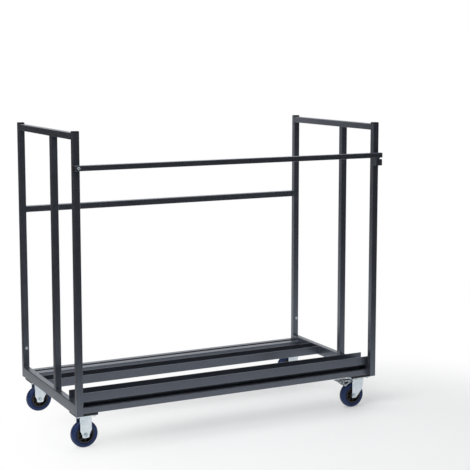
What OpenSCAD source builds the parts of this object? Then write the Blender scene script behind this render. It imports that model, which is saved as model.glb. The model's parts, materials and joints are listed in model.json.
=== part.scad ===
// Stacking chair trolley: a welded square tube frame on two fixed and two braked swivel castors.
// Two channels in the base hold the legs of the chairs, and a bar across the front keeps the stacks in.
// Millimetres. +X runs along the length to the right, the front faces -Y, +Z is up, the floor is z = 0.

/* [Frame] */
// Outer length of the frame
frame_l = 1570; // [1300:5:1800]
// Outer depth of the frame
frame_d = 800; // [740:5:950]
// Length of the corner post tubes
post_h = 1258; // [1200:2:1400]
// Outside width of the square frame tube
tube = 30; // [28:0.5:34]
// Wall of the frame tubes
tube_wall = 2; // [1.5:0.1:2.5]
// Outer corner radius of the frame tubes
tube_r = 3; // [2.8:0.1:4]
// Height of the side rails, which are taller than the other tubes
side_rail_h = 50; // [44:1:60]
// Depth of the front base rail and the rear cross beam, which lie flat
base_rail_w = 40; // [32:1:60]
// Gap between the rear base rail and the rear cross beam
rear_beam_gap = 25; // [10:1:60]
// Distance from the frame's front to the middle posts
mid_post_y = 288; // [200:1:400]
// Height of the rear bar's underside above the base
rear_bar_z = 824; // [600:2:1000]
// How far the top rails sit below the ends of the posts
top_rail_drop = 2; // [0:0.5:20]
// Height of the bolts in the rear posts above the base
rear_bolt_z = 146; // [100:1:220]

/* [Leg channels] */
// Outside width of a leg channel
channel_w = 88; // [70:1:100]
// Outside height of a leg channel
channel_h = 43; // [34:1:50]
// Sheet thickness of a leg channel
channel_t = 3; // [2:0.1:4]
// Outer bend radius of a leg channel
channel_r = 5; // [4.5:0.1:8]
// Gap between the front posts and the front channel
front_channel_gap = 8; // [2:1:25]
// How far the front channel stops short of the frame's ends
front_channel_inset = 7; // [2:0.5:12]
// Distance from the frame's front to the rear channel
rear_channel_y = 489; // [420:1:540]
// Height of the rear channel above the underside of the base
rear_channel_z = 6.5; // [0:0.5:12]

/* [Castors] */
// Height of a castor from the floor to the top of its plate
castor_h = 155; // [153:0.5:175]
// Thickness of the mounting plates welded under the frame
mount_plate_t = 10; // [6:0.5:12]
// Length of a mounting plate along X
mount_plate_l = 104; // [102:1:112]
// Width of a mounting plate along Y
mount_plate_w = 92; // [88:1:110]
// Distance from the frame's end to a castor's centre
castor_inset_x = 58; // [54:1:80]
// Distance from the frame's front or back to a castor's centre
castor_inset_y = 77; // [74:1:100]
// Length of a castor's top plate
castor_plate_l = 100; // [96:1:102]
// Width of a castor's top plate
castor_plate_w = 85; // [80:1:88]
// Thickness of a castor's top plate
castor_plate_t = 3.5; // [3:0.1:5]
// Spacing of the plate bolts along X
plate_bolt_dx = 80; // [78:0.5:82]
// Spacing of the plate bolts along Y
plate_bolt_dy = 60; // [58:0.5:66]
// Outside diameter of the wheels
wheel_d = 125; // [120:0.5:126]
// Width of a tyre
tyre_w = 36; // [30:0.5:38]
// Radius of a tyre's rounded shoulders
tyre_shoulder = 11; // [4:0.5:14]
// Diameter of the wheel core under the tyre
core_d = 80; // [72:1:92]
// Width of the wheel hub
hub_w = 44; // [40:0.5:45]
// Clear width inside a fork
fork_gap = 46; // [45.5:0.5:48]
// Sheet thickness of a fork's cheeks
cheek_t = 3; // [2:0.1:4]
// Diameter of the axle bolts
axle_d = 10; // [8:0.5:12]
// How far the wheel of a swivel castor trails behind its kingpin
swivel_offset = 34; // [30:0.5:38]

/* [Retaining bar] */
// Width of the bar's square tube
bar_w = 24; // [20:0.5:27]
// Wall of the bar's tube
bar_wall = 1.5; // [1:0.1:2]
// Outer corner radius of the bar's tube
bar_r = 2.5; // [2.2:0.1:4]
// Distance from the ends of the posts down to the bar's top
bar_drop = 141; // [60:1:400]
// How far the bar's tube runs past the frame's ends
bar_overhang = 3; // [1:0.5:10]
// Diameter of the bar's pivot bolt
pivot_d = 8; // [6:0.5:10]
// Thickness of the washer between the bar and its post
pivot_washer_t = 3; // [2:0.5:6]

/* [Hidden] */
$fn = 48;
// Overrun of cuts past a face
over = 1;
// Radial clearance of turning fits
run_play = 0.05;
// Gap between faces that turn on each other
face_play = 0.3;
// Clearance of pieces that are pressed together
seat_play = 0.02;
// Radial clearance of bolt holes
hole_play = 0.1;

// Fasteners
bolt_d = 8;
bolt_af = 13;
bolt_head_h = 5.3;
nut_h = 6.5;
bolt_tail = 2;
bolt_end_gap = 0.5;
axle_af = 16;
axle_head_h = 6.4;
axle_nut_h = 8;
rivet_nut_r = 5.5;
rivet_nut_l = 16;
rivet_flange_r = 7.5;
rivet_flange_t = 1;

// End caps
cap_t = 6;
cap_edge = 1.5;
cap_plug_h = 16;
cap_wall = 2;
cap_play = 0.2;
plug_t = 2;
plug_edge = 0.6;
plug_h = 6;

// Wheels
rim_t = 6;
rim_lip = 1;
web_t = 8;
rib_count = 8;
rib_t = 4;
rib_w = 26;
hub_r = 17;
bearing_r = 11;
bearing_l = 42;
sleeve_r = 7.5;

// Fixed forks
fixed_cheek_w = 54;
fixed_taper_z = 21;
fixed_end_w = 34;
fixed_end_drop = 14;
fixed_end_r = 9;
bead_w = 6;
bead_slope = 5;
bead_t = 3;
bead_top = 4;

// Swivel heads and forks
race_h = 7.7;
race_r = 28;
race_bore_r = 15;
race_round = 2.5;
crown_t = 4;
crown_front = 23;
king_r = 6;
king_head_r = 10;
king_head_h = 4;
swivel_cheek_back = 10;
swivel_cheek_front = 15;
swivel_foot = 12;
swivel_waist_x = 13;
swivel_waist_z = 51;
swivel_foot_cut = 3;

// Brakes
brake_pin_d = 6;
brake_pin_back = 4;
brake_pin_drop = 7;
brake_pin_head_r = 5;
brake_pin_head_t = 2;
pedal_side_gap = 2;
pedal_t = 3;
pedal_hub_r = 5;
pedal_reach = 91;
pedal_top_drop = 1;
pedal_neck_back = 14;
pedal_neck_drop = 5.5;
pedal_rise_back = 22;
pedal_web_back = 6;
window_front = 28;
window_back = 70;
window_low_front = 42;
window_low_back = 53;
window_rim = 3;
window_drop = 13;
shoe_gap = 6.5;
shoe_t = 3;
shoe_start_deg = 12;
shoe_end_deg = 44;

// Bar pivot and catch
bush_wall = 2;
catch_seat_out = 8;
catch_notch_in = 13;
catch_notch_drop = 5;
catch_mouth_drop = 8;
catch_block_h = 30;
catch_out = 3;

// Places that several pieces share
bar_gap = pivot_washer_t + face_play;
bush_r = pivot_d / 2 + bush_wall;
front_reach = bar_gap + bar_w + face_play + bolt_head_h;
x_left = -frame_l / 2;
x_right = frame_l / 2;
y_front = (front_reach - frame_d) / 2;
y_back = y_front + frame_d;
z_base = castor_h + mount_plate_t;
z_top = z_base + post_h;
bar_y = y_front - bar_gap - bar_w;
bar_zb = z_top - bar_drop - bar_w;
bar_zc = bar_zb + bar_w / 2;
pivot_x = x_left + tube / 2;
y_rear_post = y_back - tube;
rail_l = frame_d - 2 * tube;
cross_l = frame_l - 2 * tube;
front_channel_y = y_front + tube + front_channel_gap;
front_channel_l = frame_l - 2 * front_channel_inset;
castor_fl = [x_left + castor_inset_x, y_front + castor_inset_y];
castor_rl = [x_left + castor_inset_x, y_back - castor_inset_y];
castor_fr = [x_right - castor_inset_x, y_front + castor_inset_y];
castor_rr = [x_right - castor_inset_x, y_back - castor_inset_y];
castors = [castor_fl, castor_rl, castor_fr, castor_rr];
trail = [swivel_offset, 0];
wheel_fr = castor_fr - trail;
wheel_rr = castor_rr - trail;
wheel_r = wheel_d / 2;
core_r = core_d / 2;
axle_r = axle_d / 2;
z_plate = castor_h - castor_plate_t;
z_crown = z_plate - race_h - face_play;
z_crown_under = z_crown - crown_t;
fork_out = fork_gap / 2 + cheek_t;
pedal_half_w = fork_gap / 2 - pedal_side_gap;
brake_pin_x = -swivel_offset - brake_pin_back;
brake_pin_z = z_crown_under - brake_pin_drop;
shoe_r = wheel_r + shoe_gap;

// Colours
coat = [0.20, 0.21, 0.23];
zinc = [0.76, 0.79, 0.82];
black = [0.05, 0.05, 0.055];
navy = [0.09, 0.13, 0.28];
bronze = [0.55, 0.45, 0.30];

// Flat outlines
module rounded_rect(w, h, r) {
    translate([r, 0]) square([w - 2 * r, h]);
    translate([0, r]) square([w, h - 2 * r]);
    for (x = [r, w - r], y = [r, h - r])
        translate([x, y]) circle(r);
}

module tube_outline(w, h, wall, r) {
    difference() {
        rounded_rect(w, h, r);
        translate([wall, wall]) rounded_rect(w - 2 * wall, h - 2 * wall, r - wall);
    }
}

module frame_tube_outline(h = tube) {
    tube_outline(tube, h, tube_wall, tube_r);
}

module channel_outline() {
    difference() {
        rounded_rect(channel_w, 2 * channel_h, channel_r);
        translate([channel_t, channel_t])
            rounded_rect(channel_w - 2 * channel_t, 2 * channel_h, channel_r - channel_t);
        translate([-over, channel_h]) square([channel_w + 2 * over, 2 * channel_h]);
    }
}

// An outline drawn in Y and Z, run along X
module along_x(l) {
    rotate([90, 0, 90]) linear_extrude(l) children();
}

// An outline drawn in X and Z, run along Y
module along_y(l) {
    translate([0, l, 0]) rotate([90, 0, 0]) linear_extrude(l) children();
}

module rod_y(r, l) {
    translate([0, l, 0]) rotate([90, 0, 0]) cylinder(r = r, h = l);
}

module hex(af, h) {
    cylinder(d = af / cos(30), h = h, $fn = 6);
}

module hex_y(af, l) {
    translate([0, l, 0]) rotate([90, 0, 0]) hex(af, l);
}

module at(place) {
    translate([place[0], place[1], 0]) children();
}

// A plug cap that closes the end of a square tube, with its flange on z = 0
module end_cap(w, wall, r, t, edge, depth) {
    inner = w - 2 * wall - 2 * cap_play;
    linear_extrude(t - edge) rounded_rect(w, w, r);
    translate([edge, edge, t - edge]) linear_extrude(edge) rounded_rect(w - 2 * edge, w - 2 * edge, r);
    translate([wall + cap_play, wall + cap_play, -depth]) linear_extrude(depth) difference() {
        rounded_rect(inner, inner, r - wall);
        translate([cap_wall, cap_wall]) square(inner - 2 * cap_wall);
    }
}

// Welded frame
module side_rail(x) {
    translate([x, y_front + tube, z_base]) along_y(rail_l) frame_tube_outline(side_rail_h);
}

module post(x, y) {
    translate([x, y, z_base]) linear_extrude(post_h) frame_tube_outline();
}

module mid_post(x) {
    mid_h = post_h - side_rail_h - tube - top_rail_drop;
    translate([x, y_front + mid_post_y, z_base + side_rail_h]) linear_extrude(mid_h) frame_tube_outline();
}

module top_rail(x) {
    translate([x, y_front + tube, z_top - top_rail_drop - tube]) along_y(rail_l) frame_tube_outline();
}

module rear_post(x) {
    difference() {
        post(x, y_rear_post);
        translate([x + tube / 2, y_rear_post - over, z_base + rear_bolt_z])
            rod_y(rivet_nut_r + run_play, tube_wall + 2 * over);
    }
}

module base_rail(y, w) {
    translate([x_left + tube, y, z_base]) along_x(cross_l) tube_outline(w, tube, tube_wall, tube_r);
}

module side_rail_left() { color(coat) side_rail(x_left); }
module side_rail_right() { color(coat) side_rail(x_right - tube); }

module front_post_left() {
    color(coat) difference() {
        post(x_left, y_front);
        translate([pivot_x, y_front - over, bar_zc]) rod_y(pivot_d / 2 + hole_play, tube + 2 * over);
    }
}

module front_post_right() { color(coat) post(x_right - tube, y_front); }

module mid_post_left() { color(coat) mid_post(x_left); }
module mid_post_right() { color(coat) mid_post(x_right - tube); }
module rear_post_left() { color(coat) rear_post(x_left); }
module rear_post_right() { color(coat) rear_post(x_right - tube); }
module top_rail_left() { color(coat) top_rail(x_left); }
module top_rail_right() { color(coat) top_rail(x_right - tube); }
module front_base_rail() { color(coat) base_rail(y_front + tube, base_rail_w); }
module rear_base_rail() { color(coat) base_rail(y_rear_post, tube); }

module rear_cross_beam() {
    color(coat) base_rail(y_rear_post - rear_beam_gap - base_rail_w, base_rail_w);
}

module front_cross_beam() {
    color(coat) translate([x_left + tube, y_front + tube + base_rail_w, z_base])
        along_x(cross_l) frame_tube_outline(side_rail_h);
}

module front_leg_channel() {
    color(coat) translate([x_left + front_channel_inset, front_channel_y, z_base + side_rail_h])
        along_x(front_channel_l) channel_outline();
}

module rear_leg_channel() {
    color(coat) translate([x_left + tube, y_front + rear_channel_y, z_base + rear_channel_z])
        along_x(cross_l) channel_outline();
}

module rear_bar() {
    color(coat) translate([x_left + tube, y_rear_post, z_base + rear_bar_z])
        along_x(cross_l) frame_tube_outline();
}

module post_caps() {
    color(black) for (x = [x_left, x_right - tube], y = [y_front, y_rear_post])
        translate([x, y, z_top]) end_cap(tube, tube_wall, tube_r, cap_t, cap_edge, cap_plug_h);
}

module rear_post_bolts() {
    color(zinc) for (x = [x_left, x_right - tube])
        translate([x + tube / 2, y_rear_post - rivet_flange_t, z_base + rear_bolt_z]) {
            translate([0, -bolt_head_h, 0]) hex_y(bolt_af, bolt_head_h);
            rod_y(bolt_d / 2, rivet_nut_l);
        }
}

module rear_post_rivet_nuts() {
    color(zinc) for (x = [x_left, x_right - tube])
        translate([x + tube / 2, y_rear_post, z_base + rear_bolt_z]) difference() {
            union() {
                translate([0, -rivet_flange_t, 0]) rod_y(rivet_flange_r, rivet_flange_t);
                rod_y(rivet_nut_r, rivet_nut_l);
            }
            translate([0, -rivet_flange_t - over, 0])
                rod_y(bolt_d / 2 + run_play, rivet_flange_t + rivet_nut_l + 2 * over);
        }
}

// Castor plates and their bolts
module at_plate_bolts() {
    for (dx = [-1, 1], dy = [-1, 1])
        translate([dx * plate_bolt_dx / 2, dy * plate_bolt_dy / 2, 0]) children();
}

module plate(l, w, t, hole_r) {
    difference() {
        translate([-l / 2, -w / 2, 0]) cube([l, w, t]);
        at_plate_bolts() translate([0, 0, -over]) cylinder(r = hole_r, h = t + 2 * over);
    }
}

module castor_plate() {
    translate([0, 0, z_plate]) plate(castor_plate_l, castor_plate_w, castor_plate_t, bolt_d / 2 + hole_play);
}

module castor_mount_plates() {
    color(black) for (place = castors)
        at(place) translate([0, 0, castor_h])
            plate(mount_plate_l, mount_plate_w, mount_plate_t, bolt_d / 2 + run_play);
}

module castor_plate_bolts() {
    bolt_l = castor_plate_t + mount_plate_t - bolt_end_gap;
    color(zinc) for (place = castors)
        at(place) at_plate_bolts() translate([0, 0, z_plate]) {
            translate([0, 0, -bolt_head_h]) hex(bolt_af, bolt_head_h);
            cylinder(d = bolt_d, h = bolt_l);
        }
}

// Wheels, with the axle along Y through the wheel's centre
module turned() {
    translate([0, 0, wheel_r]) rotate([90, 0, 0]) rotate_extrude() children();
}

module ring_outline(r_in, r_out, w) {
    translate([r_in, -w / 2]) square([r_out - r_in, w]);
}

module tyre() {
    crown_w = tyre_w - 2 * tyre_shoulder;
    turned() {
        ring_outline(core_r, wheel_r - tyre_shoulder, tyre_w);
        ring_outline(wheel_r - tyre_shoulder, wheel_r, crown_w);
        intersection() {
            for (side = [-1, 1])
                translate([wheel_r - tyre_shoulder, side * crown_w / 2]) circle(tyre_shoulder);
            ring_outline(wheel_r - tyre_shoulder, wheel_r + over, tyre_w);
        }
    }
}

module core() {
    rim_in = core_r - rim_t;
    turned() {
        ring_outline(rim_in, core_r - seat_play, tyre_w + 2 * rim_lip);
        ring_outline(hub_r - over, rim_in + over, web_t);
        ring_outline(bearing_r + seat_play, hub_r, hub_w);
    }
    for (k = [0 : rib_count - 1])
        translate([0, 0, wheel_r]) rotate([0, k * 360 / rib_count, 0])
            translate([hub_r - over, -rib_w / 2, -rib_t / 2]) cube([rim_in - hub_r + 2 * over, rib_w, rib_t]);
}

module wheel_bearing() {
    turned() ring_outline(sleeve_r + run_play, bearing_r, bearing_l);
}

module axle_sleeve() {
    turned() ring_outline(axle_r + run_play, sleeve_r, fork_gap);
}

module axle_bolt() {
    translate([0, -fork_out, wheel_r]) {
        translate([0, -axle_head_h, 0]) hex_y(axle_af, axle_head_h);
        rod_y(axle_r, 2 * fork_out + axle_nut_h + bolt_tail);
    }
}

module axle_nut() {
    translate([0, fork_out, wheel_r]) difference() {
        hex_y(axle_af, axle_nut_h);
        translate([0, -over, 0]) rod_y(axle_r + run_play, axle_nut_h + 2 * over);
    }
}

// Both cheeks of a fork, from one outline in X and Z
module cheek_pair() {
    for (y = [-fork_out, fork_gap / 2])
        translate([0, y, 0]) along_y(cheek_t) children();
}

module fixed_cheek_outline() {
    half = fixed_cheek_w / 2;
    end = fixed_end_w / 2;
    taper_z = wheel_r + fixed_taper_z;
    difference() {
        union() {
            translate([-half, taper_z]) square([fixed_cheek_w, z_plate - taper_z]);
            polygon([[-half, taper_z], [-end, wheel_r], [end, wheel_r], [half, taper_z]]);
            translate([-end, wheel_r - fixed_end_drop])
                rounded_rect(fixed_end_w, 2 * fixed_end_drop, fixed_end_r);
        }
        translate([0, wheel_r]) circle(axle_r + hole_play);
    }
}

// Pressed edge bead of a fixed fork's cheek, with a slope towards the middle of the cheek
module fixed_bead() {
    edge = fixed_cheek_w / 2;
    taper_z = wheel_r + fixed_taper_z;
    translate([0, fork_out, taper_z]) linear_extrude(z_plate - bead_top - taper_z) polygon([
        [edge, 0], [edge, bead_t], [edge - bead_w, bead_t], [edge - bead_w - bead_slope, 0]
    ]);
}

module fixed_fork() {
    castor_plate();
    cheek_pair() fixed_cheek_outline();
    for (flip_x = [0, 1], flip_y = [0, 1])
        mirror([flip_x, 0, 0]) mirror([0, flip_y, 0]) fixed_bead();
}

module front_left_fork() { color(zinc) at(castor_fl) fixed_fork(); }
module rear_left_fork() { color(zinc) at(castor_rl) fixed_fork(); }
module fixed_axle_bolts() { color(zinc) for (place = [castor_fl, castor_rl]) at(place) axle_bolt(); }
module fixed_axle_nuts() { color(zinc) for (place = [castor_fl, castor_rl]) at(place) axle_nut(); }
module fixed_axle_sleeves() { color(zinc) for (place = [castor_fl, castor_rl]) at(place) axle_sleeve(); }

// Swivel castors, with the kingpin on the Z axis and the wheel behind it in -X
module swivel_top_plates() {
    color(zinc) for (place = [castor_fr, castor_rr]) at(place) difference() {
        castor_plate();
        translate([0, 0, z_plate - over]) cylinder(r = king_r + seat_play, h = castor_plate_t + 2 * over);
    }
}

module swivel_kingpins() {
    king_z = z_crown_under - face_play - king_head_h;
    color(zinc) for (place = [castor_fr, castor_rr]) at(place) {
        translate([0, 0, king_z]) cylinder(r = king_head_r, h = king_head_h);
        translate([0, 0, king_z]) cylinder(r = king_r, h = castor_h - king_z);
    }
}

module swivel_bearing() {
    translate([0, 0, z_plate - race_h]) rotate_extrude() {
        translate([race_bore_r, 0]) square([race_r - race_round - race_bore_r, race_h]);
        translate([race_bore_r, race_round]) square([race_r - race_bore_r, race_h - race_round]);
        translate([race_r - race_round, race_round]) circle(race_round);
    }
}

module swivel_bearings() { color(zinc) for (place = [castor_fr, castor_rr]) at(place) swivel_bearing(); }

module swivel_cheek_outline() {
    back = -swivel_offset - swivel_cheek_back;
    front = -swivel_offset + swivel_cheek_front;
    foot = wheel_r - swivel_foot;
    difference() {
        polygon([
            [crown_front, z_crown], [back, z_crown],
            [back, foot + swivel_foot_cut], [back + swivel_foot_cut, foot],
            [front - swivel_foot_cut, foot], [front, foot + swivel_foot_cut],
            [swivel_waist_x, z_crown - swivel_waist_z]
        ]);
        translate([-swivel_offset, wheel_r]) circle(axle_r + hole_play);
        translate([brake_pin_x, brake_pin_z]) circle(brake_pin_d / 2 + hole_play);
    }
}

module swivel_fork() {
    back = -swivel_offset - swivel_cheek_back;
    cheek_pair() swivel_cheek_outline();
    difference() {
        translate([back, -fork_gap / 2, z_crown_under]) cube([crown_front - back, fork_gap, crown_t]);
        translate([0, 0, z_crown_under - over]) cylinder(r = king_r + run_play, h = crown_t + 2 * over);
    }
}

// Brake pedal: a pressed top with two side webs and a curved shoe that stands off the tyre
module pedal_top_outline() {
    neck_x = -swivel_offset - pedal_neck_back;
    rise_x = -swivel_offset - pedal_rise_back;
    tip_x = -swivel_offset - pedal_reach;
    neck_z = z_crown - pedal_neck_drop;
    top_z = z_crown - pedal_top_drop;
    hub_z = brake_pin_z + pedal_hub_r;
    polygon([
        [brake_pin_x, hub_z], [neck_x, neck_z], [rise_x, top_z], [tip_x, top_z],
        [tip_x, top_z - pedal_t], [rise_x, top_z - pedal_t],
        [neck_x, neck_z - pedal_t], [brake_pin_x, hub_z - pedal_t]
    ]);
}

module shoe_point_fan() {
    reach = 2 * shoe_r;
    translate([-swivel_offset, wheel_r]) polygon([
        [0, 0],
        [-reach * sin(shoe_start_deg), reach * cos(shoe_start_deg)],
        [-reach * sin(shoe_end_deg), reach * cos(shoe_end_deg)]
    ]);
}

module wheel_disc(r) {
    translate([-swivel_offset, wheel_r]) circle(r);
}

module pedal_shoe_outline() {
    intersection() {
        difference() {
            wheel_disc(shoe_r + shoe_t);
            wheel_disc(shoe_r);
        }
        shoe_point_fan();
    }
}

module pedal_window_outline() {
    high = z_crown - pedal_top_drop - pedal_t - window_rim;
    low = high - window_drop;
    translate([-swivel_offset, 0]) polygon([
        [-window_front, high], [-window_back, high], [-window_low_back, low], [-window_low_front, low]
    ]);
}

module pedal_web_outline() {
    end_r = shoe_r + shoe_t;
    difference() {
        polygon([
            [brake_pin_x, brake_pin_z],
            [brake_pin_x, brake_pin_z + pedal_hub_r - pedal_t / 2],
            [-swivel_offset - pedal_neck_back, z_crown - pedal_neck_drop - pedal_t / 2],
            [-swivel_offset - pedal_rise_back, z_crown - pedal_top_drop - pedal_t / 2],
            [-swivel_offset - pedal_reach + pedal_web_back, z_crown - pedal_top_drop - pedal_t / 2],
            [-swivel_offset - end_r * sin(shoe_end_deg), wheel_r + end_r * cos(shoe_end_deg)],
            [-swivel_offset - shoe_r * sin(shoe_end_deg), wheel_r + shoe_r * cos(shoe_end_deg)]
        ]);
        wheel_disc(shoe_r);
        pedal_window_outline();
    }
}

module brake_pedal() {
    pedal_w = 2 * pedal_half_w;
    difference() {
        union() {
            translate([0, -pedal_half_w, 0]) along_y(pedal_w) pedal_top_outline();
            translate([0, -pedal_half_w, 0]) along_y(pedal_w) pedal_shoe_outline();
            for (y = [-pedal_half_w, pedal_half_w - pedal_t])
                translate([0, y, 0]) along_y(pedal_t) pedal_web_outline();
            translate([brake_pin_x, -pedal_half_w, brake_pin_z]) rod_y(pedal_hub_r, pedal_w);
        }
        translate([brake_pin_x, -pedal_half_w - over, brake_pin_z])
            rod_y(brake_pin_d / 2 + run_play, pedal_w + 2 * over);
    }
}

module brake_pin() {
    translate([brake_pin_x, 0, brake_pin_z]) {
        translate([0, -fork_out, 0]) rod_y(brake_pin_d / 2, 2 * fork_out);
        for (y = [-fork_out - brake_pin_head_t, fork_out])
            translate([0, y, 0]) rod_y(brake_pin_head_r, brake_pin_head_t);
    }
}

module swivel_axle() {
    axle_bolt();
    axle_nut();
}

module front_right_fork() { color(zinc) at(castor_fr) swivel_fork(); }
module rear_right_fork() { color(zinc) at(castor_rr) swivel_fork(); }
module front_right_axle() { color(zinc) at(wheel_fr) swivel_axle(); }
module rear_right_axle() { color(zinc) at(wheel_rr) swivel_axle(); }
module front_right_sleeve() { color(zinc) at(wheel_fr) axle_sleeve(); }
module rear_right_sleeve() { color(zinc) at(wheel_rr) axle_sleeve(); }
module front_right_brake_pedal() { color(zinc) at(castor_fr) brake_pedal(); }
module rear_right_brake_pedal() { color(zinc) at(castor_rr) brake_pedal(); }
module front_right_brake_pin() { color(zinc) at(castor_fr) brake_pin(); }
module rear_right_brake_pin() { color(zinc) at(castor_rr) brake_pin(); }

module front_left_tyre() { color(navy) at(castor_fl) tyre(); }
module rear_left_tyre() { color(navy) at(castor_rl) tyre(); }
module front_right_tyre() { color(navy) at(wheel_fr) tyre(); }
module rear_right_tyre() { color(navy) at(wheel_rr) tyre(); }
module front_left_core() { color(black) at(castor_fl) core(); }
module rear_left_core() { color(black) at(castor_rl) core(); }
module front_right_core() { color(black) at(wheel_fr) core(); }
module rear_right_core() { color(black) at(wheel_rr) core(); }
module front_left_bearing() { color(bronze) at(castor_fl) wheel_bearing(); }
module rear_left_bearing() { color(bronze) at(castor_rl) wheel_bearing(); }
module front_right_bearing() { color(bronze) at(wheel_fr) wheel_bearing(); }
module rear_right_bearing() { color(bronze) at(wheel_rr) wheel_bearing(); }

// Retaining bar, hung on the left front post and resting in a catch on the right one
module retaining_bar() {
    color(coat) difference() {
        translate([x_left - bar_overhang, bar_y, bar_zb])
            along_x(frame_l + 2 * bar_overhang) tube_outline(bar_w, bar_w, bar_wall, bar_r);
        translate([pivot_x, bar_y - over, bar_zc]) rod_y(bush_r + seat_play, bar_w + 2 * over);
    }
}

module bar_end_plugs() {
    color(black) for (side = [0, 1]) mirror([side, 0, 0])
        translate([x_right + bar_overhang, bar_y, bar_zb]) rotate([90, 0, 90])
            end_cap(bar_w, bar_wall, bar_r, plug_t, plug_edge, plug_h);
}

module bar_pivot_bush() {
    color(bronze) translate([pivot_x, bar_y, bar_zc]) difference() {
        rod_y(bush_r, bar_w);
        translate([0, -over, 0]) rod_y(pivot_d / 2 + run_play, bar_w + 2 * over);
    }
}

module bar_pivot_bolt() {
    color(zinc) translate([pivot_x, bar_y - face_play, bar_zc]) {
        translate([0, -bolt_head_h, 0]) hex_y(bolt_af, bolt_head_h);
        rod_y(pivot_d / 2, face_play + bar_w + bar_gap + tube + nut_h + bolt_tail);
    }
}

module bar_pivot_washer() {
    color(zinc) translate([pivot_x, y_front - pivot_washer_t, bar_zc]) difference() {
        rod_y(bar_w / 2, pivot_washer_t);
        translate([0, -over, 0]) rod_y(pivot_d / 2 + hole_play, pivot_washer_t + 2 * over);
    }
}

module bar_pivot_nut() {
    color(zinc) translate([pivot_x, y_front + tube, bar_zc]) difference() {
        hex_y(bolt_af, nut_h);
        translate([0, -over, 0]) rod_y(pivot_d / 2 + run_play, nut_h + 2 * over);
    }
}

module catch_outline() {
    inner = x_right - tube;
    mouth_z = bar_zb - catch_mouth_drop;
    foot_z = mouth_z - catch_block_h;
    polygon([
        [inner, bar_zb], [x_right - catch_seat_out, bar_zb],
        [x_right - catch_notch_in, bar_zb - catch_notch_drop],
        [x_right + catch_out, mouth_z], [x_right + catch_out, foot_z], [inner, foot_z]
    ]);
}

module bar_catch() {
    color(coat) translate([0, bar_y, 0]) along_y(y_front - bar_y) catch_outline();
}

side_rail_left();
side_rail_right();
front_post_left();
front_post_right();
mid_post_left();
mid_post_right();
rear_post_left();
rear_post_right();
top_rail_left();
top_rail_right();
front_base_rail();
rear_base_rail();
front_cross_beam();
rear_cross_beam();
front_leg_channel();
rear_leg_channel();
rear_bar();
post_caps();
rear_post_bolts();
rear_post_rivet_nuts();
castor_mount_plates();
castor_plate_bolts();
bar_catch();
bar_pivot_bolt();
bar_pivot_washer();
bar_pivot_nut();
retaining_bar();
bar_end_plugs();
bar_pivot_bush();
front_left_fork();
rear_left_fork();
fixed_axle_bolts();
fixed_axle_nuts();
fixed_axle_sleeves();
swivel_top_plates();
swivel_kingpins();
swivel_bearings();
front_right_fork();
rear_right_fork();
front_right_axle();
rear_right_axle();
front_right_sleeve();
rear_right_sleeve();
front_right_brake_pedal();
rear_right_brake_pedal();
front_right_brake_pin();
rear_right_brake_pin();
front_left_tyre();
rear_left_tyre();
front_right_tyre();
rear_right_tyre();
front_left_core();
rear_left_core();
front_right_core();
rear_right_core();
front_left_bearing();
rear_left_bearing();
front_right_bearing();
rear_right_bearing();
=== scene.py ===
"""Looks of the stacking chair trolley: finishes, welds, wheels, fasteners, studio and camera."""

import json
import math
from collections import namedtuple

import bmesh
import bpy
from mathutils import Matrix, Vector, noise


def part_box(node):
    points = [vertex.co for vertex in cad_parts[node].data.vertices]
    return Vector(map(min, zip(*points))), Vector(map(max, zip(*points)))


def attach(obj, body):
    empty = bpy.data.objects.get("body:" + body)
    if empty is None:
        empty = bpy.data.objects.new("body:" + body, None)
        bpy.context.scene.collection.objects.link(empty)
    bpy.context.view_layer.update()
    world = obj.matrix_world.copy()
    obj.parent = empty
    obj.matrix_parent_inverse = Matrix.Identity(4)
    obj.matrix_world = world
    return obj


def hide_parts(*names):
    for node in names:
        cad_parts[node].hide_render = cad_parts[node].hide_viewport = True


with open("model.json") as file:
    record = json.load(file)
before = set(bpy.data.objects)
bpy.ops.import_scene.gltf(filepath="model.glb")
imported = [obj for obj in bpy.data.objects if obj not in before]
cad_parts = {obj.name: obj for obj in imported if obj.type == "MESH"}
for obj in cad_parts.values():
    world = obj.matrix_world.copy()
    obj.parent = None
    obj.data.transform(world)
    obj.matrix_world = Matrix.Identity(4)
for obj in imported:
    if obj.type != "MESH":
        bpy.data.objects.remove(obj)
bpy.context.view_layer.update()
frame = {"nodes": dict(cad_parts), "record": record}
nodes = frame["nodes"]

MM = 0.001
HANDS = ("left", "right")
FIXED = ("front_left", "rear_left")
SWIVEL = ("front_right", "rear_right")
CASTORS = FIXED + SWIVEL
X, Y, Z = Vector((1, 0, 0)), Vector((0, 1, 0)), Vector((0, 0, 1))
WHITE = (1, 1, 1, 1)


# Small helpers

def mid(node):
    """Centre of a CAD node's box."""
    low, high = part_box(node)
    return (low + high) / 2


def add_object(name, data):
    """A new object in the scene."""
    thing = bpy.data.objects.new(name, data)
    bpy.context.scene.collection.objects.link(thing)
    return thing


def new_piece(name, bm, material, body):
    """A smooth mesh object with one material that rides on a CAD body."""
    bmesh.ops.recalc_face_normals(bm, faces=bm.faces)
    mesh = bpy.data.meshes.new(name)
    bm.to_mesh(mesh)
    bm.free()
    mesh.materials.append(material)
    mesh.shade_smooth()
    piece = add_object(name, mesh)
    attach(piece, body)
    return piece


def turns(count):
    """The angles of a full turn in equal steps."""
    return [2 * math.pi * k / count for k in range(count)]


def loft(bm, rings, ends=True):
    """Skins rings of the same count of points, with flat ends or as a closed loop of rings."""
    loops = [[bm.verts.new(point) for point in ring] for ring in rings]
    pairs = list(zip(loops, loops[1:]))
    if not ends:
        pairs.append((loops[-1], loops[0]))
    for low, high in pairs:
        for k in range(len(low)):
            n = (k + 1) % len(low)
            bm.faces.new((low[k], low[n], high[n], high[k]))
    if ends:
        bm.faces.new(list(reversed(loops[0])))
        bm.faces.new(loops[-1])


# Materials

NOISE_ROUGHNESS = 0.55


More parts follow.
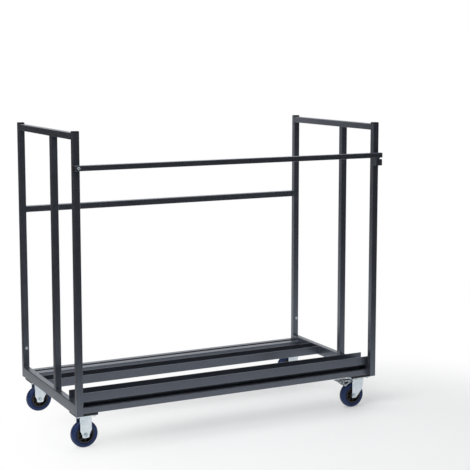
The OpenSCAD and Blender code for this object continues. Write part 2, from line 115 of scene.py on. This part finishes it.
def start_material(name):
    """A new node material, with its tree, its shader and its object coordinates."""
    material = bpy.data.materials.new(name)
    material.use_nodes = True
    tree = material.node_tree
    shader = tree.nodes["Principled BSDF"]
    coordinates = tree.nodes.new("ShaderNodeTexCoord")
    return material, tree, shader, coordinates.outputs["Object"]


def add_noise(tree, vector, scale, detail=3.0):
    """A noise texture's factor, with its scale in cells per metre."""
    texture = tree.nodes.new("ShaderNodeTexNoise")
    texture.inputs["Scale"].default_value = scale
    texture.inputs["Detail"].default_value = detail
    texture.inputs["Roughness"].default_value = NOISE_ROUGHNESS
    tree.links.new(vector, texture.inputs["Vector"])
    return texture.outputs["Fac"]


def set_tone(tree, shader, factor, low, high, start=0.3, end=0.7):
    """Colours the surface from one tone to another by a factor."""
    ramp = tree.nodes.new("ShaderNodeValToRGB")
    ramp.color_ramp.elements[0].position = start
    ramp.color_ramp.elements[0].color = (*low, 1)
    ramp.color_ramp.elements[1].position = end
    ramp.color_ramp.elements[1].color = (*high, 1)
    tree.links.new(factor, ramp.inputs["Fac"])
    tree.links.new(ramp.outputs["Color"], shader.inputs["Base Color"])


def set_roughness(tree, shader, factor, low, high):
    """Varies the roughness between two values by a factor."""
    span = tree.nodes.new("ShaderNodeMapRange")
    span.inputs["To Min"].default_value = low
    span.inputs["To Max"].default_value = high
    tree.links.new(factor, span.inputs["Value"])
    tree.links.new(span.outputs["Result"], shader.inputs["Roughness"])


def set_bump(tree, shader, height, strength, distance):
    """Bump from a height factor, with the distance in metres."""
    bump = tree.nodes.new("ShaderNodeBump")
    bump.inputs["Strength"].default_value = strength
    bump.inputs["Distance"].default_value = distance
    tree.links.new(height, bump.inputs["Height"])
    tree.links.new(bump.outputs["Normal"], shader.inputs["Normal"])


def powder_coat():
    """Anthracite powder coat: semi-gloss, with a fine orange peel and a faint drift in its tone."""
    material, tree, shader, place = start_material("anthracite_powder_coat")
    drift = add_noise(tree, place, scale=7.0)
    set_tone(tree, shader, drift, low=(0.021, 0.0225, 0.027), high=(0.029, 0.031, 0.036))
    cloud = add_noise(tree, place, scale=38.0)
    set_roughness(tree, shader, cloud, low=0.27, high=0.40)
    peel = add_noise(tree, place, scale=620.0, detail=1.5)
    set_bump(tree, shader, peel, strength=0.10, distance=0.25 * MM)
    shader.inputs["Specular IOR Level"].default_value = 1.0
    shader.inputs["IOR"].default_value = 1.78
    shader.inputs["Specular Tint"].default_value = (0.74, 0.83, 1.0, 1)
    return material


def zinc_plate(name, gloss, low, high, scale=55.0, detail=4.0, start=0.3, end=0.7):
    """Zinc plating: metal with a cloudy or patchy tone and a fine grain."""
    roughness_span = 0.18
    material, tree, shader, place = start_material(name)
    cloud = add_noise(tree, place, scale=scale, detail=detail)
    set_tone(tree, shader, cloud, low, high, start, end)
    grain = add_noise(tree, place, scale=420.0)
    set_roughness(tree, shader, grain, low=gloss, high=gloss + roughness_span)
    set_bump(tree, shader, grain, strength=0.06, distance=0.15 * MM)
    shader.inputs["Metallic"].default_value = 1.0
    return material


def tyre_rubber():
    """Navy elastic rubber: satin, with faint dusty patches."""
    material, tree, shader, place = start_material("navy_rubber")
    dust = add_noise(tree, place, scale=42.0, detail=5.0)
    set_tone(tree, shader, dust, low=(0.008, 0.020, 0.078), high=(0.014, 0.032, 0.112))
    set_roughness(tree, shader, dust, low=0.38, high=0.55)
    skin = add_noise(tree, place, scale=900.0)
    set_bump(tree, shader, skin, strength=0.10, distance=0.2 * MM)
    shader.inputs["Specular IOR Level"].default_value = 0.4
    shader.inputs["Specular Tint"].default_value = (0.75, 0.85, 1.0, 1)
    return material


def plate_coat():
    """Thin matt black coat on hot rolled plate, with the mill's unevenness under it."""
    material, tree, shader, place = start_material("black_plate_coat")
    mill = add_noise(tree, place, scale=26.0, detail=4.0)
    set_tone(tree, shader, mill, low=(0.0045, 0.0045, 0.005), high=(0.010, 0.010, 0.011))
    set_roughness(tree, shader, mill, low=0.50, high=0.68)
    grit = add_noise(tree, place, scale=380.0)
    set_bump(tree, shader, grit, strength=0.15, distance=0.2 * MM)
    return material


def moulded_plastic(name, gloss, low, high):
    """Moulded plastic with a fine eroded texture."""
    roughness_span = 0.12
    material, tree, shader, place = start_material(name)
    drift = add_noise(tree, place, scale=30.0)
    set_tone(tree, shader, drift, low, high)
    set_roughness(tree, shader, drift, low=gloss, high=gloss + roughness_span)
    erosion = add_noise(tree, place, scale=1100.0)
    set_bump(tree, shader, erosion, strength=0.12, distance=0.2 * MM)
    return material


def bearing_bronze():
    """Sintered bronze: warm, dull and finely grained."""
    material, tree, shader, place = start_material("sintered_bronze")
    grain = add_noise(tree, place, scale=800.0)
    set_tone(tree, shader, grain, low=(0.30, 0.20, 0.10), high=(0.46, 0.33, 0.18))
    set_roughness(tree, shader, grain, low=0.38, high=0.55)
    shader.inputs["Metallic"].default_value = 1.0
    return material


ZINC_DARK = (0.66, 0.76, 0.82)
ZINC_LIGHT = (0.84, 0.90, 0.94)

COAT = powder_coat()
PLATE = plate_coat()
ZINC = zinc_plate("bright_zinc", gloss=0.22, low=ZINC_DARK, high=ZINC_LIGHT)
BOLT_ZINC = zinc_plate("dull_zinc", gloss=0.55, low=ZINC_DARK, high=ZINC_LIGHT)
# The pedals' zinc is mottled with dark patches of painted shade and painted dark reflection between
# bright spots.
PEDAL_ZINC_PAINTED_SHADE = zinc_plate(
    "pedal_zinc_painted_shade", gloss=0.34, low=(0.05, 0.055, 0.06), high=(0.72, 0.79, 0.84),
    scale=130.0, detail=2.0, start=0.42, end=0.60,
)
RUBBER = tyre_rubber()
CAP = moulded_plastic(
    "black_cap_plastic", gloss=0.34, low=(0.010, 0.010, 0.011), high=(0.018, 0.018, 0.019)
)
CORE = moulded_plastic(
    "black_core_plastic", gloss=0.42, low=(0.010, 0.008, 0.007), high=(0.018, 0.015, 0.013)
)
BRONZE = bearing_bronze()
BY_SLOT = {
    "frame_coat": COAT, "plate_coat": PLATE, "zinc_steel": ZINC, "tyre_rubber": RUBBER,
    "cap_plastic": CAP, "wheel_plastic": CORE, "bearing_bronze": BRONZE,
}
SLOT_OF = {part["node"]: part["material_slot"] for part in frame["record"]["subparts"]}

for node_name, node_object in nodes.items():
    node_object.data.materials.clear()
    node_object.data.materials.append(BY_SLOT[SLOT_OF[node_name]])
for castor in SWIVEL:
    # The brake pedals take the zinc with patches of painted shade.
    nodes[castor + "_brake_pedal"].data.materials[0] = PEDAL_ZINC_PAINTED_SHADE


# Broken edges on what is cut, pressed or moulded

PLANAR_DEG = 0.5
EDGE_DEG = 30
EDGE_SEGMENTS = 2
SHEET_EDGE = 0.5 * MM
BLOCK_EDGE = 0.7 * MM
PRESSED_EDGE = 0.8 * MM
CAP_EDGE = 1.2 * MM
SHEETS = ("front_leg_channel", "rear_leg_channel", "castor_mount_plates", "swivel_top_plates")


def soften(width, *names):
    """Rounds the sharp edges of CAD nodes."""
    for name in names:
        planar = nodes[name].modifiers.new("planar", "DECIMATE")
        planar.decimate_type = "DISSOLVE"
        planar.angle_limit = math.radians(PLANAR_DEG)
        edges = nodes[name].modifiers.new("edges", "BEVEL")
        edges.width = width
        edges.segments = EDGE_SEGMENTS
        edges.limit_method = "ANGLE"
        edges.angle_limit = math.radians(EDGE_DEG)
        edges.harden_normals = True


soften(SHEET_EDGE, *SHEETS)
soften(BLOCK_EDGE, "bar_catch", "bar_end_plugs", *(castor + "_core" for castor in CASTORS))
soften(PRESSED_EDGE, *(castor + "_fork" for castor in CASTORS))
soften(PRESSED_EDGE, *(castor + "_brake_pedal" for castor in SWIVEL))
soften(CAP_EDGE, "post_caps")


# Weld beads

WELD_R = 2.2 * MM
WELD_RING = 8
WELD_STEP = 1.1 * MM
WELD_MIN_STEPS = 6
# A bead stops short of a joint's corners, and its ends taper.
WELD_EDGE = 2 * MM
WELD_TIP = 0.35
WELD_TAPER = 4
# Ripples along the bead, as shares of its radius, and a slow wobble in cells per metre
WELD_RIPPLE = 3.5 * MM
WELD_RIPPLE_SHARE = 0.13
WELD_WOBBLE_SHARE = 0.10
WELD_WOBBLE_SCALE = 160
# Joints that lie flush in the frame's back are ground flat.
GROUND_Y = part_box("rear_post_left")[1].y - WELD_R


def sweep_bead(bm, start, end, seed):
    """A rippled bead from start to end, tapered at both ends."""
    along = end - start
    length = along.length
    direction = along.normalized()
    side = direction.orthogonal().normalized()
    up = direction.cross(side)
    count = max(WELD_MIN_STEPS, int(length / WELD_STEP))
    rings = []
    for i in range(count + 1):
        t = i / count
        run = t * length
        taper = min(1.0, WELD_TAPER * min(t, 1 - t) + WELD_TIP)
        ripple = 1 + WELD_RIPPLE_SHARE * math.cos(2 * math.pi * run / WELD_RIPPLE)
        ripple += WELD_WOBBLE_SHARE * noise.noise(Vector((seed, run * WELD_WOBBLE_SCALE, 0)))
        r = WELD_R * taper * ripple
        centre = start + along * t
        rings.append([
            centre + side * (r * math.cos(a)) + up * (r * math.sin(a)) for a in turns(WELD_RING)
        ])
    loft(bm, rings)


def weld(name, lines):
    """One piece of several beads on the frame."""
    bm = bmesh.new()
    for i, (start, end) in enumerate(lines):
        sweep_bead(bm, Vector(start), Vector(end), i + 1)
    new_piece(name, bm, COAT, "frame")


def line_x(low, high, y, z):
    """Ends of a bead along X."""
    return (low + WELD_EDGE, y, z), (high - WELD_EDGE, y, z)


def line_y(x, low, high, z):
    """Ends of a bead along Y."""
    return (x, low + WELD_EDGE, z), (x, high - WELD_EDGE, z)


def line_z(x, y, low, high):
    """Ends of a bead along Z."""
    return (x, y, low + WELD_EDGE), (x, y, high - WELD_EDGE)


for hand in HANDS:
    rail_low, rail_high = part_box("side_rail_" + hand)
    top_low, top_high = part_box("top_rail_" + hand)
    post_low, post_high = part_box("mid_post_" + hand)
    x0, x1 = rail_low.x, rail_high.x
    inner = x1 if hand == "left" else x0
    weld("weld_side_rail_" + hand, [
        line_x(x0, x1, y, rail_high.z) for y in (rail_low.y, rail_high.y)
    ])
    weld("weld_top_rail_" + hand, [
        line_x(x0, x1, y, top_low.z) for y in (top_low.y, top_high.y)
    ])
    weld("weld_mid_post_" + hand, [
        line_x(x0, x1, y, z) for y in (post_low.y, post_high.y) for z in (post_low.z, post_high.z)
    ])
    lines = []
    for rail in ("front_base_rail", "rear_base_rail", "rear_cross_beam"):
        low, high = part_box(rail)
        lines.append(line_y(inner, low.y, high.y, high.z))
        lines += [line_z(inner, y, low.z, high.z) for y in (low.y, high.y) if y < GROUND_Y]
    weld("weld_base_rails_" + hand, lines)
    low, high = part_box("front_cross_beam")
    weld("weld_cross_beam_" + hand, [line_z(inner, high.y, low.z, high.z)])
    low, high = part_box("rear_leg_channel")
    weld("weld_rear_channel_" + hand, [
        line_z(inner, y, low.z, high.z) for y in (low.y, high.y)
    ])
    low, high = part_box("rear_bar")
    weld("weld_rear_bar_" + hand, [line_y(inner, low.y, high.y, z) for z in (low.z, high.z)])
    low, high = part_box("front_leg_channel")
    x0, x1 = max(x0, low.x), min(x1, high.x)
    weld("weld_front_channel_" + hand, [line_x(x0, x1, y, low.z) for y in (low.y, high.y)])

catch_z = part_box("bar_catch")[0].z
post_low, post_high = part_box("front_post_right")
weld("weld_bar_catch", [line_x(post_low.x, post_high.x, post_low.y, catch_z)])


# Tyres with rounded shoulders, a moulded parting line and a lip at the rim

LATHE_STEPS = 96
SHOULDER_STEPS = 12
SHOULDER_R = 12.0 * MM
SHOULDER_Y = 11.5 * MM
PARTING_H = 0.25 * MM
PARTING_W = 0.8 * MM
LIP_W = 2.4 * MM
LIP_D = 0.7 * MM
RIM_EDGE = 0.6 * MM
RIM_SEAT = 0.05 * MM


def lathe(profile, centre):
    """Turns a closed outline of (radius, y) points about the wheel axle through centre."""
    bm = bmesh.new()
    rings = [
        [centre + Vector((r * math.cos(a), y, r * math.sin(a))) for r, y in profile]
        for a in turns(LATHE_STEPS)
    ]
    loft(bm, rings, ends=False)
    return bm


def shoulder(centre_r, centre_y):
    """A quarter of an ellipse in the (radius, y) plane, from the crown to the tyre's side."""
    angles = [math.radians(90 * i / SHOULDER_STEPS) for i in range(SHOULDER_STEPS + 1)]
    return [
        (centre_r + SHOULDER_R * math.cos(a), centre_y + SHOULDER_Y * math.sin(a)) for a in angles
    ]


def tyre_profile(r_in, r_out, half_w):
    """Half of a tyre's outline from the crown's middle to its rim, mirrored to the whole."""
    crown = r_out - PARTING_H
    lip_y = half_w - LIP_D
    half = [(r_out, 0.25 * PARTING_W), (crown, 0.5 * PARTING_W)]
    half += shoulder(crown - SHOULDER_R, half_w - SHOULDER_Y)
    half += [(r_in + LIP_W + LIP_D, half_w), (r_in + LIP_W, lip_y)]
    half += [(r_in + RIM_EDGE, lip_y), (r_in, lip_y - RIM_EDGE)]
    return half + [(r, -y) for r, y in reversed(half)]


for castor in CASTORS:
    tyre_node = castor + "_tyre"
    low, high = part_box(tyre_node)
    core_low, core_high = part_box(castor + "_core")
    outline = tyre_profile(
        (core_high.z - core_low.z) / 2 + RIM_SEAT, (high.z - low.z) / 2, (high.y - low.y) / 2
    )
    turned = lathe(outline, mid(tyre_node))
    tyre = new_piece("tyre_" + castor, turned, RUBBER, castor + "_wheel")
    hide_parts(tyre_node)


# Fasteners with chamfered hexagons

Thread = namedtuple("Thread", "radius across head nut")
M8 = Thread(radius=4 * MM, across=13 * MM, head=5.3 * MM, nut=6.5 * MM)
M10 = Thread(radius=5 * MM, across=16 * MM, head=6.4 * MM, nut=8 * MM)
NUT_BORE = 0.1 * MM
WASHER_H = 0.4 * MM
SHANK_POINT = 1.0 * MM
HEX_STEPS = 48
HEX_CORNER = 1 / math.cos(math.pi / 6)
CHAMFER_SHARE = 0.95
CHAMFER_RISE = math.tan(math.radians(30))
SMOOTH_DEG = 30


def circle_ring(base, out, radius):
    """A ring of points about the line through base along out."""
    second = out.cross(X)
    return [
        base + X * (radius * math.cos(a)) + second * (radius * math.sin(a))
        for a in turns(HEX_STEPS)
    ]


def hex_ring(base, out, across, sink):
    """A hexagon with corners on X, its points sunk along out as a 30 degree chamfer cuts them."""
    second = out.cross(X)
    flat = across / 2
    points = []
    for a in turns(HEX_STEPS):
        r = flat / math.cos(a % (math.pi / 3) - math.pi / 6)
        drop = sink * (r - CHAMFER_SHARE * flat) * CHAMFER_RISE
        points.append(base + X * (r * math.cos(a)) + second * (r * math.sin(a)) - out * drop)
    return points


def add_head(bm, seat, out, thread):
    """A hexagon head on its washer face, with its seat at a point."""
    washer_r = CHAMFER_SHARE * thread.across / 2
    washer_top = seat + out * WASHER_H
    top = seat + out * thread.head
    loft(bm, [
        circle_ring(seat, out, washer_r),
        circle_ring(washer_top, out, washer_r),
        hex_ring(washer_top, out, thread.across, 0),
        hex_ring(top, out, thread.across, 1),
        circle_ring(top, out, washer_r),
    ])


def add_shank(bm, start, out, radius, length):
    """A shank that ends in a chamfer."""
    loft(bm, [
        circle_ring(start, out, radius),
        circle_ring(start + out * (length - SHANK_POINT), out, radius),
        circle_ring(start + out * length, out, radius - SHANK_POINT),
    ])


def add_bolt(bm, seat, along, thread, length):
    """A bolt with its head's seat at a point and its shank along a direction."""
    add_head(bm, seat, -along, thread)
    add_shank(bm, seat, along, thread.radius, length)


def add_nut(bm, seat, out, thread):
    """A hexagon nut chamfered on both ends, with its seat at a point."""
    top = seat + out * thread.nut
    bore = thread.radius + NUT_BORE
    face_r = CHAMFER_SHARE * thread.across / 2
    loft(bm, [
        circle_ring(seat, out, bore),
        circle_ring(seat, out, face_r),
        hex_ring(seat, out, thread.across, -1),
        hex_ring(top, out, thread.across, 1),
        circle_ring(top, out, face_r),
        circle_ring(top, out, bore),
    ], ends=False)


def fastener(name, bm, body, *replaced):
    """A zinc piece with crisp edges that stands for CAD fasteners."""
    piece = new_piece(name, bm, BOLT_ZINC, body)
    piece.data.set_sharp_from_angle(angle=math.radians(SMOOTH_DEG))
    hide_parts(*replaced)


head_reach_x = HEX_CORNER * M8.across / 2
low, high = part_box("rear_post_bolts")
bm = bmesh.new()
for x in (low.x + head_reach_x, high.x - head_reach_x):
    seat = Vector((x, low.y + M8.head, mid("rear_post_bolts").z))
    add_bolt(bm, seat, Y, M8, high.y - seat.y)
fastener("bolts_rear_posts", bm, "frame", "rear_post_bolts")

low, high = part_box("castor_plate_bolts")
plates_x = (mid("front_left_fork").x, mid("swivel_top_plates").x)
plates_y = (mid("front_left_fork").y, mid("rear_left_fork").y)
half_x = plates_x[0] - low.x - head_reach_x
half_y = plates_y[0] - low.y - M8.across / 2
bm = bmesh.new()
for x in plates_x:
    for y in plates_y:
        for dx in (-half_x, half_x):
            for dy in (-half_y, half_y):
                seat = Vector((x + dx, y + dy, low.z + M8.head))
                add_bolt(bm, seat, Z, M8, high.z - seat.z)
fastener("bolts_castor_plates", bm, "frame", "castor_plate_bolts")

axle_low, axle_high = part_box("front_right_axle")
axle_mid = mid("front_right_core")
head_reach = axle_mid.y - axle_low.y
tail_reach = axle_high.y - axle_mid.y
nut_reach = head_reach - M10.head


def add_axle(bm, hub):
    """An axle bolt through a wheel's hub, with its head in front and its nut behind."""
    seat = Vector((hub.x, hub.y - head_reach + M10.head, hub.z))
    add_bolt(bm, seat, Y, M10, hub.y + tail_reach - seat.y)
    add_nut(bm, Vector((hub.x, hub.y + nut_reach, hub.z)), Y, M10)


bm = bmesh.new()
for castor in FIXED:
    add_axle(bm, mid(castor + "_core"))
fastener("axles_fixed", bm, "frame", "fixed_axle_bolts", "fixed_axle_nuts")
for castor in SWIVEL:
    bm = bmesh.new()
    add_axle(bm, mid(castor + "_core"))
    fastener("axle_" + castor, bm, castor + "_swivel", castor + "_axle")

low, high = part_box("bar_pivot_bolt")
pivot = mid("bar_pivot_bolt")
nut_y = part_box("bar_pivot_nut")[0].y
bm = bmesh.new()
seat = Vector((pivot.x, low.y + M8.head, pivot.z))
add_bolt(bm, seat, Y, M8, high.y - seat.y)
add_nut(bm, Vector((pivot.x, nut_y, pivot.z)), Y, M8)
fastener("bolt_bar_pivot", bm, "frame", "bar_pivot_bolt", "bar_pivot_nut")


# Studio

FLOOR_HALF = 60.0
FLOOR_DROP = 0.5 * MM
FLOOR_TONE = (0.92, 0.92, 0.92, 1)
FLOOR_ROUGHNESS = 0.65
# The floor's white glow for the camera: its share about a middle point, and the distances in
# metres between which it rises to the whole.
FLOOR_MIDDLE = (0.45, -0.75, 0)
FLOOR_GLOW = 0.3
FLOOR_FADE = (0.7, 1.7)
# Black flags in front of the object and to its left, as studios use them: they show in gloss
# alone and take no light away.
FLAG_TONE = (0.04, 0.04, 0.045, 1)
FLAG_Z = (0.0, 3.2)
FLAG_FRONT = ((-4.5, -1.45), (4.5, -1.45))
FLAG_LEFT = ((-1.1, -0.5), (-1.1, 3.5))
AMBIENT_TONE = (0.96, 0.98, 1.0, 1)
AMBIENT = 0.38


def seen_rays(tree):
    """One for rays of the camera, of gloss and of transmission, and zero for the rest."""
    path = tree.nodes.new("ShaderNodeLightPath")
    total = path.outputs["Is Camera Ray"]
    for kind in ("Is Glossy Ray", "Is Transmission Ray"):
        most = tree.nodes.new("ShaderNodeMath")
        most.operation = "MAXIMUM"
        tree.links.new(total, most.inputs[0])
        tree.links.new(path.outputs[kind], most.inputs[1])
        total = most.outputs["Value"]
    return total


def floor_material():
    """Pale floor that keeps the shadow near the object and runs into white further out."""
    material, tree, shader, place = start_material("pale_floor")
    shader.inputs["Base Color"].default_value = FLOOR_TONE
    shader.inputs["Roughness"].default_value = FLOOR_ROUGHNESS
    length = tree.nodes.new("ShaderNodeVectorMath")
    length.operation = "DISTANCE"
    length.inputs[1].default_value = FLOOR_MIDDLE
    tree.links.new(place, length.inputs[0])
    fade = tree.nodes.new("ShaderNodeMapRange")
    fade.interpolation_type = "SMOOTHSTEP"
    fade.inputs["From Min"].default_value = FLOOR_FADE[0]
    fade.inputs["From Max"].default_value = FLOOR_FADE[1]
    fade.inputs["To Min"].default_value = FLOOR_GLOW
    tree.links.new(length.outputs["Value"], fade.inputs["Value"])
    share = tree.nodes.new("ShaderNodeMath")
    share.operation = "MULTIPLY"
    tree.links.new(seen_rays(tree), share.inputs[0])
    tree.links.new(fade.outputs["Result"], share.inputs[1])
    glow = tree.nodes.new("ShaderNodeEmission")
    glow.inputs["Color"].default_value = WHITE
    blend = tree.nodes.new("ShaderNodeMixShader")
    tree.links.new(share.outputs["Value"], blend.inputs["Fac"])
    tree.links.new(shader.outputs["BSDF"], blend.inputs[1])
    tree.links.new(glow.outputs["Emission"], blend.inputs[2])
    tree.links.new(blend.outputs["Shader"], tree.nodes["Material Output"].inputs["Surface"])
    return material


def flat_stage(name, corners, material):
    """A flat four-cornered piece of the studio."""
    mesh = bpy.data.meshes.new(name)
    mesh.from_pydata(corners, [], [(0, 1, 2, 3)])
    mesh.materials.append(material)
    sheet = add_object(name, mesh)
    return sheet


def flag_cloth():
    """Dull black cloth."""
    material, _, shader, _ = start_material("black_flag")
    shader.inputs["Base Color"].default_value = FLAG_TONE
    shader.inputs["Roughness"].default_value = 1.0
    return material


def black_flag(name, ends, cloth):
    """An upright flag between two points of the floor plan."""
    (x0, y0), (x1, y1) = ends
    low, high = FLAG_Z
    corners = [(x0, y0, low), (x1, y1, low), (x1, y1, high), (x0, y0, high)]
    flag = flat_stage(name, corners, cloth)
    flag.visible_camera = False
    flag.visible_diffuse = False
    flag.visible_transmission = False
    flag.visible_shadow = False


def studio_world():
    """White surround for the camera and for gloss, with a softer ambient light on the object."""
    world = bpy.data.worlds.new("studio")
    bpy.context.scene.world = world
    world.use_nodes = True
    tree = world.node_tree
    plain = tree.nodes["Background"]
    plain.inputs["Color"].default_value = AMBIENT_TONE
    plain.inputs["Strength"].default_value = AMBIENT
    white = tree.nodes.new("ShaderNodeBackground")
    white.inputs["Color"].default_value = WHITE
    blend = tree.nodes.new("ShaderNodeMixShader")
    tree.links.new(seen_rays(tree), blend.inputs["Fac"])
    tree.links.new(plain.outputs["Background"], blend.inputs[1])
    tree.links.new(white.outputs["Background"], blend.inputs[2])
    tree.links.new(blend.outputs["Shader"], tree.nodes["World Output"].inputs["Surface"])


def area_light(name, place, target, size, power):
    """A square softbox aimed at a point."""
    data = bpy.data.lights.new(name, "AREA")
    data.shape = "SQUARE"
    data.size = size
    data.energy = power
    lamp = add_object(name, data)
    lamp.location = place
    aim = Vector(target) - Vector(place)
    lamp.rotation_euler = aim.to_track_quat("-Z", "Y").to_euler()


flat_stage("floor", [
    (sx * FLOOR_HALF, sy * FLOOR_HALF, -FLOOR_DROP)
    for sx, sy in ((-1, -1), (1, -1), (1, 1), (-1, 1))
], floor_material())
FLAG_CLOTH = flag_cloth()
black_flag("flag_front", FLAG_FRONT, FLAG_CLOTH)
black_flag("flag_left", FLAG_LEFT, FLAG_CLOTH)
studio_world()
area_light("key_left", place=(-3.2, -2.0, 4.2), target=(0, 0, 0.5), size=2.6, power=140)
area_light("overhead", place=(-0.2, 0.6, 4.6), target=(0, 0, 0), size=3.2, power=75)


# Camera at the photograph's angle, from the front left. The photograph was taken level with a
# strong shift. Here a small shift and a look down of 7 degrees keep the other views whole.

IMAGE_PX = 470
SENSOR_MM = 36.0
FOCAL_PX = 1237.6
CAMERA_FROM_FRAME = Vector((-2.5854, -5.4457, 1.5974))
CAMERA_YAW = math.radians(27.11)
CAMERA_PITCH = math.radians(7.078)
CAMERA_SHIFT = -0.06

frame_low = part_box("front_post_left")[0]
frame_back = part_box("rear_post_right")[1]
camera_data = bpy.data.cameras.new("camera")
camera_data.sensor_width = SENSOR_MM
camera_data.lens = FOCAL_PX / IMAGE_PX * SENSOR_MM
camera_data.shift_y = CAMERA_SHIFT
camera = add_object("camera", camera_data)
camera.location = CAMERA_FROM_FRAME + Vector((
    (frame_low.x + frame_back.x) / 2, (frame_low.y + frame_back.y) / 2, frame_low.z
))
camera.rotation_euler = (math.pi / 2 - CAMERA_PITCH, 0, -CAMERA_YAW)
bpy.context.scene.camera = camera
bpy.context.scene.view_settings.view_transform = "Standard"
